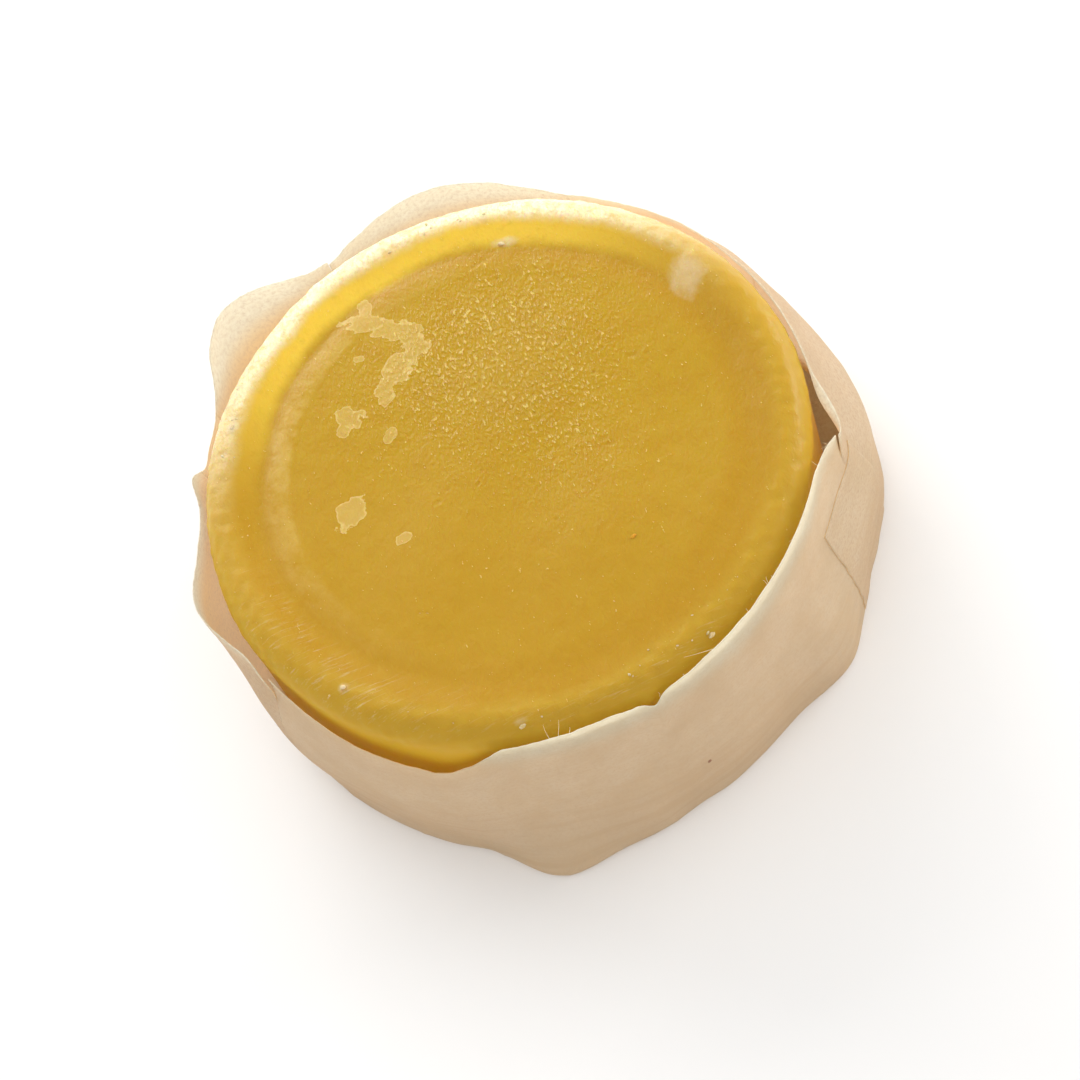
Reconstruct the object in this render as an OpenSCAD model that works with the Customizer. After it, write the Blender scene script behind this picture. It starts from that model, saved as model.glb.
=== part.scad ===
// Round shaving soap puck in a torn open paper wrapper.
// It stands on its pleated paper base: z = 0 is the table, the Z axis is the axis of the soap,
// and -Y is the front, where the wrapper is torn lowest. Angles run from +X towards +Y.

/* [Soap] */
// Diameter of the soap across its side
soap_d = 70; // [64:1:76]
// Height of the soap from its underside to the crest of its rim
soap_h = 27.3; // [26:0.1:28]
// Radius of the rounded outer edge of the rim
shoulder_r = 3.2; // [2:0.1:4]
// Radius of the rounded bottom edge
foot_r = 2.6; // [1.5:0.1:4]

/* [Soap face] */
// Radius of the inner edge of the rim's crest
crest_r = 31.4; // [31:0.1:31.6]
// Radius of the middle of the moulded groove
groove_r = 29.6; // [29:0.1:30]
// Depth of the groove below the crest
groove_depth = 1.2; // [0.8:0.1:2]
// Radius of the low ridge inside the groove
ridge_r = 26.4; // [25.5:0.1:27]
// Depth of the ridge below the crest
ridge_depth = 0.85; // [0.4:0.1:1.2]
// Radius of the flat middle of the face
plateau_r = 24.2; // [20:0.1:24.8]
// Depth of the flat middle below the crest
plateau_depth = 1; // [0.8:0.1:1.8]

/* [Wrapper] */
// Gap between the side of the soap and the paper where the wrapper is tight
slack = 0.35; // [0.3:0.05:0.6]
// Thickness of the solid that stands for the paper
paper_t = 0.3; // [0.2:0.05:0.4]
// Thickness of the pleated layers under the soap
base_t = 0.6; // [0.5:0.1:0.6]
// Number of pleats folded under the soap
pleats = 14; // [10:1:18]
// Height of the line that the torn flaps bend about
hinge_z = 19; // [18:0.1:19.5]
// Gap between the wall and the root of a flap
root_gap = 0.5; // [0.4:0.05:0.8]
// Gap at each side of a flap, in degrees
side_gap = 0.5; // [0.4:0.1:0.8]

/* [Hidden] */

$fn = 96;
soap_r = soap_d / 2;
rest_gap = 0.1;
soap_z = base_t + rest_gap;
layer_gap = 0.2;

soap_colour = [0.86, 0.68, 0.27];
paper_colour = [0.86, 0.78, 0.66];
lap_colour = [0.82, 0.73, 0.6];
base_colour = [0.8, 0.72, 0.6];

// Each flap as [start angle, end angle]
REAR_FLAP = [56, 104];
REAR_LEFT_FLAP = [104, 140];
LEFT_FLAP = [152, 200];
RIGHT_FLAP = [336, 385];
// The lap, where the end of the sheet overlaps the wall
LAP = [322, 341];
lap_bottom = 1;
lap_top = 18.3;

// Where the paper stands off the soap:
// [angle, half width, amount, height it starts at, height it is full at, height it fades from, height it ends at]
BULGES = [
    [349, 22, 4.9, -2, -1, 10, 25],     // slack at the right
    [20, 20, 3.4, -2, -1, 11, 26.5],    // slack at the back right
    [338, 5, 2, 14, 25, 99, 100],       // open corner at the notch
    [181, 10, 2.4, 8, 25, 99, 100],     // open cusp at the left
    [155, 4, 0.9, 18, 26, 99, 100],     // small curl
    [250, 9, 3.6, -2, -1, 0, 9],        // pleat ear at the front
    [312, 9, 2.2, -2, -1, 0, 20],       // pleat ear at the front right
    [82, 17, 2, 19, 27, 99, 100],       // rear flap leans out
    [124, 12, 4.3, 18, 28, 99, 100],    // rear left flap leans out
    [212, 28, 1.1, -2, -1, 12, 24],     // slack at the front left
    [226, 18, 0.6, 0, 20, 99, 100],     // open edge where the tear is lowest
    [45, 16, 0.6, 8, 20, 99, 100],      // slack edge at the back right
    [195, 12, 1.3, 0, 8, 14, 24],       // slack side at the left
    [280, 45, 1.4, -2, -1, 3, 15],      // full foot along the front
    [266, 8, 1, -2, -1, 2, 12],         // foot beside the front ear
    [323, 8, 0.9, -2, -1, 4, 20],       // slack beside the front right ear
    [29, 9, 1.4, 0, 8, 18, 26.5],       // slack shoulder at the back right
    [144, 9, 0.7, 0, 14, 99, 100]       // slack edge at the back left
];

// Torn edge of the wrapper as [angle, height]
TORN_EDGE = [
    [0, 25.6], [12, 25.4], [25, 24.8], [40, 24.3], [55, 24.8], [62, 26], [70, 27.2], [82, 27.7],
    [92, 27.3], [99, 26.4], [104, 25.4], [110, 26.6], [117, 28], [124, 28.6], [131, 28],
    [136, 25.6], [141, 23.5], [151, 23.5], [155, 26], [159, 25.4], [167, 25.2], [174, 25.6],
    [180, 26], [188, 25.8], [196, 25.6], [200, 24.6], [208, 23.6], [219, 22.8], [228, 21.8],
    [237, 20.8], [242, 23.2], [248, 26.9], [258, 27.3], [268, 27.8], [274, 26.8], [275.5, 25.2],
    [277.5, 27.2], [287, 28], [300, 28], [318, 28], [326, 27.9], [330, 26.2], [334, 26],
    [338, 25], [343, 25.6], [350, 25.7], [360, 25.6]
];

wall_rows = 10;
flap_rows = 5;
column_step = 3;

// Smooth step from 0 at z0 to 1 at z1
function ease(z, z0, z1) =
    let (t = min(1, max(0, (z - z0) / (z1 - z0)))) t * t * (3 - 2 * t);

// Angle between two directions, from -180 to 180
function turn(a, b) = ((a - b + 900) % 360) - 180;

// Height of the torn edge at an angle
function edge_z(a) = lookup((a + 360) % 360, TORN_EDGE);

// Radius of the inner face of the paper at an angle and a height
function paper_r(a, z, i = 0) =
    i == len(BULGES) ? soap_r + slack
    : let (b = BULGES[i])
      b[2] * exp(-pow(turn(a, b[0]) / b[1], 2)) * ease(z, b[3], b[4]) * (1 - ease(z, b[5], b[6]))
      + paper_r(a, z, i + 1);

function polar(r, a, z) = [r * cos(a), r * sin(a), z];

// Angles from one to another in equal steps of about column_step
function columns(from, to) =
    let (n = ceil((to - from) / column_step)) [for (i = [0 : n]) from + (to - from) * i / n];

// Sheet of paper as a closed solid. cols is a list of [angle, bottom height, top height],
// lift moves it outwards from the wall, and a closed sheet joins its last column to its first.
module sheet(cols, rows, lift = 0, closed = false) {
    n = len(cols);
    side = n * rows;
    inner = [for (c = cols) for (j = [0 : rows - 1])
        let (z = c[1] + (c[2] - c[1]) * j / (rows - 1)) polar(paper_r(c[0], z) + lift, c[0], z)];
    outer = [for (c = cols) for (j = [0 : rows - 1])
        let (z = c[1] + (c[2] - c[1]) * j / (rows - 1))
        polar(paper_r(c[0], z) + lift + paper_t, c[0], z)];
    last = closed ? n - 1 : n - 2;
    top = rows - 1;
    faces_outer = [for (i = [0 : last]) for (j = [0 : rows - 2])
        let (a = side + i * rows + j, b = side + ((i + 1) % n) * rows + j)
        each [[a, a + 1, b + 1], [a, b + 1, b]]];
    faces_inner = [for (i = [0 : last]) for (j = [0 : rows - 2])
        let (a = i * rows + j, b = ((i + 1) % n) * rows + j)
        each [[a, b + 1, a + 1], [a, b, b + 1]]];
    faces_rim = [for (i = [0 : last])
        let (a = i * rows, b = ((i + 1) % n) * rows)
        each [[a, a + side, b + side], [a, b + side, b],
              [a + top, b + top + side, a + top + side], [a + top, b + top, b + top + side]]];
    e = (n - 1) * rows;
    faces_ends = closed ? [] : [for (j = [0 : rows - 2])
        each [[j, j + 1, j + 1 + side], [j, j + 1 + side, j + side],
              [e + j, e + j + 1 + side, e + j + 1], [e + j, e + j + side, e + j + 1 + side]]];
    polyhedron(concat(inner, outer), concat(faces_outer, faces_inner, faces_rim, faces_ends));
}

// One torn flap, bent out of the wall above the hinge line
module flap(span) {
    angles = columns(span[0] + side_gap, span[1] - side_gap);
    sheet([for (a = angles) [a, hinge_z + root_gap, edge_z(a)]], flap_rows);
}

// Columns of the wall: up to the torn edge between flaps, and up to the hinge line under them
function collar(from, to) = [for (a = columns(from, to)) [a, base_t, edge_z(a)]];
function bed(from, to) = [for (a = columns(from, to)) [a, base_t, hinge_z]];

// Cast puck: rounded edges, and a face with a rim, a groove, a low ridge and a flat middle
module soap_puck() {
    slope = 0.7;
    color(soap_colour)
    translate([0, 0, soap_z])
    rotate_extrude()
    difference() {
        union() {
            translate([0, foot_r])
            square([soap_r, soap_h - foot_r - shoulder_r]);
            square([soap_r - foot_r, soap_h - shoulder_r]);
            translate([soap_r - foot_r, foot_r])
            intersection() {
                circle(foot_r);
                translate([0, -foot_r])
                square(foot_r);
            }
            square([soap_r - shoulder_r, soap_h]);
            translate([soap_r - shoulder_r, soap_h - shoulder_r])
            intersection() {
                circle(shoulder_r);
                square(shoulder_r);
            }
        }
        polygon([
            [-1, soap_h + 1], [crest_r, soap_h + 1], [crest_r, soap_h],
            [groove_r + slope, soap_h - groove_depth], [groove_r - slope, soap_h - groove_depth],
            [ridge_r + slope, soap_h - ridge_depth], [ridge_r - slope, soap_h - ridge_depth],
            [plateau_r, soap_h - plateau_depth], [-1, soap_h - plateau_depth]
        ]);
    }
}

// Side wall of the wrapper, one sheet all round the soap
module wrapper_wall() {
    color(paper_colour)
    sheet(concat(
        collar(RIGHT_FLAP[1] - 360 + side_gap / 2, REAR_FLAP[0] - side_gap / 2),
        bed(REAR_FLAP[0], REAR_LEFT_FLAP[1]),
        collar(REAR_LEFT_FLAP[1] + side_gap / 2, LEFT_FLAP[0] - side_gap / 2),
        bed(LEFT_FLAP[0], LEFT_FLAP[1]),
        collar(LEFT_FLAP[1] + side_gap / 2, RIGHT_FLAP[0] - side_gap / 2),
        bed(RIGHT_FLAP[0], RIGHT_FLAP[1])
    ), wall_rows, closed = true);
}

// End of the sheet where it laps over the outside of the wall
module wrapper_lap() {
    color(lap_colour)
    sheet([for (a = columns(LAP[0], LAP[1])) [a, lap_bottom, lap_top]], wall_rows,
          lift = paper_t + layer_gap);
}

// Pleated layers folded under the soap, with a shallow slanting crease between pleats
module wrapper_base() {
    crease = 0.15;
    crease_start = 9;
    lean = 24;
    outline = [for (a = [0 : column_step : 359])
        let (r = paper_r(a, base_t) + paper_t) [r * cos(a), r * sin(a)]];
    color(base_colour)
    difference() {
        linear_extrude(base_t)
        polygon(outline);
        for (i = [0 : pleats - 1])
            rotate(i * 360 / pleats)
            translate([crease_start, 0, -1])
            rotate(lean)
            cube([soap_r * 2, crease, 1 + crease]);
    }
}

module rear_flap() {
    color(paper_colour)
    flap(REAR_FLAP);
}

module rear_left_flap() {
    color(paper_colour)
    flap(REAR_LEFT_FLAP);
}

module left_flap() {
    color(paper_colour)
    flap(LEFT_FLAP);
}

module right_flap() {
    color(paper_colour)
    flap(RIGHT_FLAP);
}

soap_puck();
wrapper_wall();
wrapper_lap();
wrapper_base();
rear_flap();
rear_left_flap();
left_flap();
right_flap();
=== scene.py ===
"""Shaving soap puck in its torn paper wrapper: a Blender add-on that can also be run as a script.

The shape functions work in millimetres and degrees in the frame of the CAD part: z = 0 is the table,
the Z axis is the axis of the soap, -Y is the front, and angles run from +X towards +Y.
"""
import math

import bpy
import numpy as np
from bpy.props import FloatProperty, FloatVectorProperty, IntProperty, PointerProperty
from bpy.types import Operator, Panel, PropertyGroup
from mathutils import Matrix, Vector


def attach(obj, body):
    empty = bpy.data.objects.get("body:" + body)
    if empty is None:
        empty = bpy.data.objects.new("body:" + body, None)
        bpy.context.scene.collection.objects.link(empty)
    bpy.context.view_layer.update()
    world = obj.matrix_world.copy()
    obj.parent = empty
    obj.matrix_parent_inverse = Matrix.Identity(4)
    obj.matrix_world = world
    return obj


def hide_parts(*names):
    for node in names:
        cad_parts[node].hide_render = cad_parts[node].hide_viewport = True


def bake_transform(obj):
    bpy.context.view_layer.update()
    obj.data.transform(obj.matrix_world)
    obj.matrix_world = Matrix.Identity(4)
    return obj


bl_info = {
    "name": "Shaving soap puck",
    "version": (1, 0, 0),
    "blender": (4, 5, 0),
    "location": "3D View > Sidebar > Soap puck",
    "description": "Builds a round shaving soap in a torn paper wrapper on a packed CAD frame",
    "category": "Add Mesh",
}

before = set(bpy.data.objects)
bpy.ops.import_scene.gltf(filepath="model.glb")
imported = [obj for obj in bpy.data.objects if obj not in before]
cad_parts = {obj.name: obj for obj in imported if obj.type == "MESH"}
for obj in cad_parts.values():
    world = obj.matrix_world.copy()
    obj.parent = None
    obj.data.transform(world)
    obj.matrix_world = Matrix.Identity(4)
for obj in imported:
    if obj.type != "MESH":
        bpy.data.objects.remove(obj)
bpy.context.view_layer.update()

MM = 0.001

# Soap: its radius, the heights of its underside and crest, the rounding of its shoulder and foot, the
# depth of its face, and the spacing and number of its rings' points
SOAP_R = 35.0
SOAP_BOTTOM = 0.7
CREST_Z = 28.0
SHOULDER_R = 3.2
FOOT_R = 2.6
DISH = 0.88
FACE_SPACING = 0.262
FACE_COLUMNS = 560

# Value of an ellipse field far outside every ellipse
OUTSIDE = 9.0

# Wrapper: how far it stands off the soap, the hinge height of a flap, where its corners start to stand out,
# how far it runs under the soap, the rounding and height of that bend, its mean radius, the radii that
# patterns and marks are laid out on, and the angle between columns of its points
SLACK = 0.5
HINGE_Z = 19.0
TUCK = 1.2
CORNER = 0.6
TUCK_Z = 0.1
PAPER_R = 36.8
PATTERN_R = 36.0
MARK_R = 37.5
SHEET_STEP = 0.4

# Spans of angle of the flaps, of the wall between them and of the lap. The lap also has its heights, its
# mean radius, its distance out from the wall and what its free end adds to that
FLAPS = {
    "rear_flap": (56, 104),
    "rear_left_flap": (104, 140),
    "left_flap": (152, 200),
    "right_flap": (336, 385),
}
WALL_SPANS = ((25, 56), (140, 152), (200, 336))
LAP = (322, 341)
LAP_HEIGHTS = (1.0, 18.3)
LAP_GAP = 0.125
LAP_OPENING = 0.02

# Number of pleats under the soap
PLEATS = 14

# Where the paper stands off the soap: angle, half width, amount, and the heights that it starts at,
# is full at, fades from and ends at
BULGES = (
    (349, 22, 4.9, -2, -1, 10, 25),
    (20, 20, 3.4, -2, -1, 11, 26.5),
    (338, 5, 2, 14, 25, 99, 100),
    (181, 10, 2.4, 8, 25, 99, 100),
    (155, 4, 0.9, 18, 26, 99, 100),
    (250, 9, 3.6, -2, -1, 0, 9),
    (312, 9, 2.2, -2, -1, 0, 20),
    (82, 17, 2, 19, 27, 99, 100),
    (124, 12, 4.3, 18, 28, 99, 100),
    (212, 28, 1.1, -2, -1, 12, 24),
    (226, 18, 0.6, 0, 20, 99, 100),
    (45, 16, 0.6, 8, 20, 99, 100),
    (195, 12, 1.3, 0, 8, 14, 24),
    (280, 45, 1.4, -2, -1, 3, 15),
    (266, 8, 1, -2, -1, 2, 12),
    (323, 8, 0.9, -2, -1, 4, 20),
    (29, 9, 1.4, 0, 8, 18, 26.5),
    (144, 9, 0.7, 0, 14, 99, 100),
)

# Torn edge as angle and height
TORN_EDGE = (
    (0, 25.6), (12, 25.4), (25, 24.8), (40, 24.3), (55, 24.8), (62, 26), (70, 27.2), (82, 27.7),
    (92, 27.3), (99, 26.4), (104, 25.4), (110, 26.6), (117, 28), (124, 28.6), (131, 28),
    (136, 25.6), (141, 23.5), (151, 23.5), (155, 26), (159, 25.4), (167, 25.2), (174, 25.6),
    (180, 26), (188, 25.8), (196, 25.6), (200, 24.6), (208, 23.6), (219, 22.8), (228, 21.8),
    (237, 20.8), (242, 23.2), (248, 26.9), (258, 27.3), (268, 27.8), (274, 26.8), (275.5, 25.2),
    (277.5, 27.2), (287, 28), (300, 28), (318, 28), (326, 27.9), (330, 26.2), (334, 26),
    (338, 25), (343, 25.6), (350, 25.7), (360, 25.6),
)

# Where the torn edge rolls outwards: angle, half width, amount, and depth below the edge
ROLLS = (
    (344, 4.5, 0.7, 1.3),
    (124, 12, 0.3, 4),
    (86, 14, 0.15, 3),
    (276, 1.5, 0.25, 0.8),
)

# Flap corners that stand proud of the tear: flap, angle, half width, amount
CORNERS = (
    ("rear_left_flap", 104, 3, 0.35),
    ("left_flap", 200, 4, 0.55),
    ("right_flap", 336, 2.5, 0.35),
)

# Small specks on the outside of the wall: angle, height, half width, half height
SPECKS = (
    (280.4, 7.6, 0.34, 0.3),
    (303.6, 13.0, 0.2, 0.12),
)

# Angles of the three longer fibres
LONG_FIBRES = (257, 258.5, 289)

# Angles that the loose flecks of soap gather about
CRUMB_ANGLES = (212, 250, 285, 300, 80, 150)

# Soft lights: name, azimuth, elevation, distance, width and height, degrees and metres
LAMPS = (
    ("Key", 96, 32, 0.6, 0.6, 0.3),
    ("Window", 108, 26, 0.6, 0.5, 0.06),
    ("Side", 14, 14, 0.6, 0.4, 0.2),
    ("Fill", 285, 25, 0.8, 0.6, 0.5),
)

# Thin dried film on the face, as ellipses: x, y, half length, half width, angle
FILM = (
    (-8.0, 24.0, 3.2, 1.2, -30),
    (-7.0, 25.8, 0.9, 1.6, 0),
    (-4.8, 21.2, 3.0, 1.3, -29),
    (-3.4, 18.8, 1.5, 2.4, 20),
    (-6.2, 16.4, 2.6, 1.9, 45),
    (-8.8, 14.2, 1.2, 1.9, -20),
    (-10.1, 19.8, 0.5, 0.9, 60),
    (-13.7, 13.0, 2.0, 1.3, -29),
    (-15.2, 11.6, 0.9, 0.9, 0),
    (-10.3, 8.6, 1.2, 0.8, 40),
    (-17.8, 1.2, 2.4, 1.7, 40),
    (-13.6, -4.6, 1.0, 0.8, 10),
)

# Short dents in the face: x, y, half length, half width, angle
DENTS = (
    (9.6, 17.8, 1.6, 0.3, 38),
    (11.4, 14.6, 1.3, 0.3, 30),
    (4.8, 15.2, 1.2, 0.3, 20),
    (11.4, 9.7, 1.4, 0.3, 24),
    (18.2, 4.3, 0.9, 0.35, -20),
    (11.6, -4.9, 0.7, 0.4, -10),
    (7.4, 24.9, 1.8, 0.4, 5),
    (-14.7, -14.6, 1.3, 0.14, -29),
)

# White frosting of soap: x, y, half length, half width, angle
FROST = (
    (27.8, 10.6, 2.3, 1.7, 70),
    (-10.0, -32.0, 1.0, 0.7, 0),
    (12.1, -31.7, 1.3, 0.8, 30),
    (11.2, 26.0, 1.4, 0.5, -20),
    (-26.5, 18.0, 0.9, 0.6, 40),
    (-26.0, -18.9, 0.6, 0.5, 0),
)

# Chips of soap and one pale thread on the face: x, y, half length, half width, angle, orange share
CHIPS = (
    (-10.0, -32.0, 0.5, 0.35, 20, 0),
    (-26.0, -18.9, 0.4, 0.3, 0, 0),
    (12.1, -31.7, 0.5, 0.3, 30, 0),
    (10.6, 26.0, 0.5, 0.28, -20, 0),
    (-26.5, 18.0, 0.35, 0.3, 40, 0),
    (9.3, -17.1, 0.42, 0.3, 10, 1),
    (-14.7, -14.6, 1.3, 0.09, -29, 0),
)


# ------------------------------------------------------------------ shape functions

def ease(x, low, high):
    """Smooth step: 0 below low, 1 above high and 3t^2 - 2t^3 of the share between them."""
    t = np.clip((np.asarray(x, float) - low) / (high - low), 0, 1)
    return t * t * (3 - 2 * t)


def turn(a, b):
    """Angle from b to a, from -180 to 180 degrees."""
    return (a - b + 180) % 360 - 180


def polar(radius, angle, height):
    """Points at a radius, an angle in degrees and a height."""
    t = np.radians(angle)
    return np.stack(np.broadcast_arrays(radius * np.cos(t), radius * np.sin(t), height), -1)


def waves(points, wavelength, seed, count=12):
    """Smooth noise, mostly from -1 to 1: the mean of sine waves of about one wavelength, in random
    directions and with random starts."""
    rng = np.random.default_rng(seed)
    directions = rng.normal(size=(count, 3))
    directions /= np.linalg.norm(directions, axis=1)[:, None]
    starts = rng.uniform(0, 2 * math.pi, count)
    turns = 2 * math.pi / (wavelength * rng.uniform(0.75, 1.35, count))
    total = sum(np.sin(points @ (d * k) + s) for d, k, s in zip(directions, turns, starts))
    return total / math.sqrt(2 * count) * 1.3


def ellipses(x, y, table):
    """Field of a set of ellipses: the largest of 1 - (u^2 + v^2), where u and v are the distances along
    and across each one as shares of its half length and half width. It is 0 on an outline."""
    field = np.full(np.shape(x), -OUTSIDE)
    for cx, cy, half_length, half_width, angle in table:
        c, s = math.cos(math.radians(angle)), math.sin(math.radians(angle))
        u = ((x - cx) * c + (y - cy) * s) / half_length
        v = ((y - cy) * c - (x - cx) * s) / half_width
        field = np.maximum(field, 1 - (u * u + v * v))
    return field


def paper_radius(angle, z):
    """Radius of the middle of the paper: the soap's radius and the slack, and for each bulge its amount
    times exp(-(turn / half width)^2), eased in and out over its heights."""
    radius = np.full(np.broadcast(angle, z).shape, SOAP_R + SLACK)
    for centre, width, amount, z0, z1, z2, z3 in BULGES:
        share = np.exp(-((turn(angle, centre) / width) ** 2))
        radius += amount * share * ease(z, z0, z1) * (1 - ease(z, z2, z3))
    return radius


def torn_top(angle, rag):
    """Height of the torn edge: the table of angles and heights, softened over a degree, with two scales
    of fine raggedness."""
    a, z = np.array(TORN_EDGE, float).T
    soft = sum(w * np.interp((angle + d) % 360, a, z)
               for d, w in ((-1.2, 0.15), (-0.5, 0.2), (0, 0.3), (0.5, 0.2), (1.2, 0.15)))
    p = polar(PATTERN_R, angle, 0.0)
    return soft + rag * (waves(p, 3.1, 7) + 0.6 * waves(p, 0.9, 8))


def paper_relief(angle, z, top, height):
    """How far the paper stands out from its plain surface: broad dents, thin ridged creases, level ripples
    low at the front right, pleats that fade above the base, and the rolled torn edge."""
    p = polar(PATTERN_R, angle, z)
    dents = 0.5 + 0.5 * waves(p, 13, 3)
    crease = np.clip(1 - 2.2 * np.abs(waves(p * (1, 1, 0.6), 17, 4)), 0, 1) ** 2
    level = np.sin(2 * math.pi * (z + 0.6 * waves(p, 15, 5)) / 2.7)
    low = np.exp(-((turn(angle, 305) / 38) ** 2)) * ease(z, 1.5, 4) * (1 - ease(z, 9, 17))
    fold = np.abs(((angle * PLEATS / 360 + 0.25 * waves(p, 30, 6)) % 1) - 0.5) * 2
    pleat = ease(fold, 0.45, 1) * (1 - ease(z, 0.5, 9))
    relief = height * (0.7 * dents + 0.55 * crease + 0.4 * low * (1 + level) + 1.1 * pleat)
    for centre, width, amount, depth in ROLLS:
        share = np.exp(-((turn(angle, centre) / width) ** 2))
        relief += amount * share * ease(z, top - depth, top) ** 1.5
    return relief


def wall_surface(angle, share, rag, height, corners=()):
    """Middle of the wrapper's wall. share runs along the paper from 0, tucked under the soap, straight
    out, round a quarter circle at the bottom corner, and up to 1 at the torn edge."""
    top = torn_top(angle, rag)
    quarter = CORNER * math.pi / 2
    along = share * (TUCK + quarter + top - TUCK_Z - CORNER)
    bend = np.clip((along - TUCK) / CORNER, 0, math.pi / 2)
    inset = CORNER * (np.sin(bend) - 1) - np.maximum(TUCK - along, 0)
    z = TUCK_Z + CORNER * (1 - np.cos(bend)) + np.maximum(along - TUCK - quarter, 0)
    radius = paper_radius(angle, z) + inset + paper_relief(angle, z, top, height)
    for centre, width, amount in corners:
        radius += amount * np.exp(-((turn(angle, centre) / width) ** 2)) * ease(z, HINGE_Z, top)
    return polar(radius, angle, z)


def lap_surface(angle, share, rag, height):
    """Middle of the lap: the wall's surface, moved out by a gap that opens towards its free end."""
    z = LAP_HEIGHTS[0] + share * (LAP_HEIGHTS[1] - LAP_HEIGHTS[0])
    top = torn_top(angle, rag)
    free = ease(angle, LAP[0], LAP[1])
    radius = paper_radius(angle, z) + paper_relief(angle, z, top, height)
    return polar(radius + LAP_GAP + LAP_OPENING * free, angle, z)


def face_height(radius, angle):
    """Height of the face below the crest. At the back: a flat middle, a low ridge, a groove, and the rise to
    the rim, each an eased step of the radius. Towards the front this turns into one long shallow rise
    with a faint groove, by a share of exp(-(turn from the front / 75)^2)."""
    r = radius + 0.3 * waves(polar(26.0, angle, 0.0), 17, 21) * ease(radius, 15, 24)
    ridge = 0.02 + 0.05 * np.exp(-((turn(angle, 140) / 50) ** 2))
    deep = 0.1 + 0.1 * np.exp(-((turn(angle, 120) / 70) ** 2))
    back = (
        -DISH
        - deep * ease(r, 25.4, 28.4)
        + (DISH + deep) * ease(r, 27.4, 31.9)
        + ridge * (ease(r, 24.0, 24.8) - ease(r, 25.6, 28.0))
    )
    front = DISH * (ease(r, 4, 33.5) - 1) - 0.05 * (ease(r, 25, 28.5) - ease(r, 28.5, 31.8))
    share = np.exp(-((turn(angle, 285) / 75) ** 2))
    return back + (front - back) * share


def soap_rings():
    """Rings of the plain soap, from the middle of the underside to the middle of the face: their
    radius, height, and the way out of the surface as (radial, upward)."""
    t = np.linspace(0, math.pi / 2, 7)[1:]
    foot = np.stack([SOAP_R - FOOT_R + FOOT_R * np.sin(t), SOAP_BOTTOM + FOOT_R * (1 - np.cos(t)),
                     np.sin(t), -np.cos(t)])
    t = np.linspace(0, math.pi / 2, 19)[1:]
    centre = SOAP_R - SHOULDER_R
    shoulder = np.stack([centre + SHOULDER_R * np.cos(t), CREST_Z - SHOULDER_R + SHOULDER_R * np.sin(t),
                         np.cos(t), np.sin(t)])
    under = np.linspace(0.6, SOAP_R - FOOT_R, 9)
    under = np.stack([under, np.full(9, SOAP_BOTTOM), np.zeros(9), -np.ones(9)])
    side = np.linspace(SOAP_BOTTOM + FOOT_R, CREST_Z - SHOULDER_R, 20)[1:]
    side = np.stack([np.full(19, SOAP_R), side, np.ones(19), np.zeros(19)])
    face = np.linspace(centre, 0.2, int((centre - 0.2) / FACE_SPACING))[1:]
    face = np.stack([face, np.full(len(face), CREST_Z), np.zeros(len(face)), np.ones(len(face))])
    return np.concatenate([under, foot, side, shoulder, face], axis=1)


def pit_places(count, seed):
    """Pits scattered by a normal spread about a place behind the middle of the face: x, y, radius and
    depth of each."""
    rng = np.random.default_rng(seed)
    along, across = rng.normal(size=(2, count))
    a = math.radians(61)
    x = 7.5 + 9 * along * math.cos(a) - 6.5 * across * math.sin(a)
    y = 10.0 + 9 * along * math.sin(a) + 6.5 * across * math.cos(a)
    keep = np.hypot(x, y) < 28
    return np.stack([x, y, rng.uniform(0.2, 0.42, count), rng.uniform(0.02, 0.07, count)])[:, keep]


# ------------------------------------------------------------------ meshes

def new_mesh(name, vertices, faces, smooth, uv=None, fields=None):
    """One mesh object at the origin. vertices are in millimetres, faces is a list of index arrays with
    one row to a face, smooth says for each array whether it is shaded smooth, uv is in millimetres."""
    mesh = bpy.data.meshes.new(name)
    sizes = np.concatenate([np.full(len(f), f.shape[1]) for f in faces])
    loops = np.concatenate([f.ravel() for f in faces]).astype(np.int32)
    mesh.vertices.add(len(vertices))
    mesh.vertices.foreach_set("co", (vertices * MM).astype(np.float32).ravel())
    mesh.loops.add(len(loops))
    mesh.loops.foreach_set("vertex_index", loops)
    mesh.polygons.add(len(sizes))
    starts = np.concatenate([[0], np.cumsum(sizes)[:-1]]).astype(np.int32)
    mesh.polygons.foreach_set("loop_start", starts)
    mesh.polygons.foreach_set("use_smooth",
                              np.concatenate([np.full(len(f), s) for f, s in zip(faces, smooth)]))
    mesh.update(calc_edges=True)
    if uv is not None:
        mesh.uv_layers.new(name="Sheet").data.foreach_set("uv", uv[loops].astype(np.float32).ravel())
    for field, values in (fields or {}).items():
        layer = mesh.attributes.new(field, "FLOAT", "POINT")
        layer.data.foreach_set("value", values.astype(np.float32).ravel())
    if mesh.validate():
        raise RuntimeError(f"{name}: the mesh had faces that aren't valid")
    obj = bpy.data.objects.new(name, mesh)
    bpy.context.scene.collection.objects.link(obj)
    return obj


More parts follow.
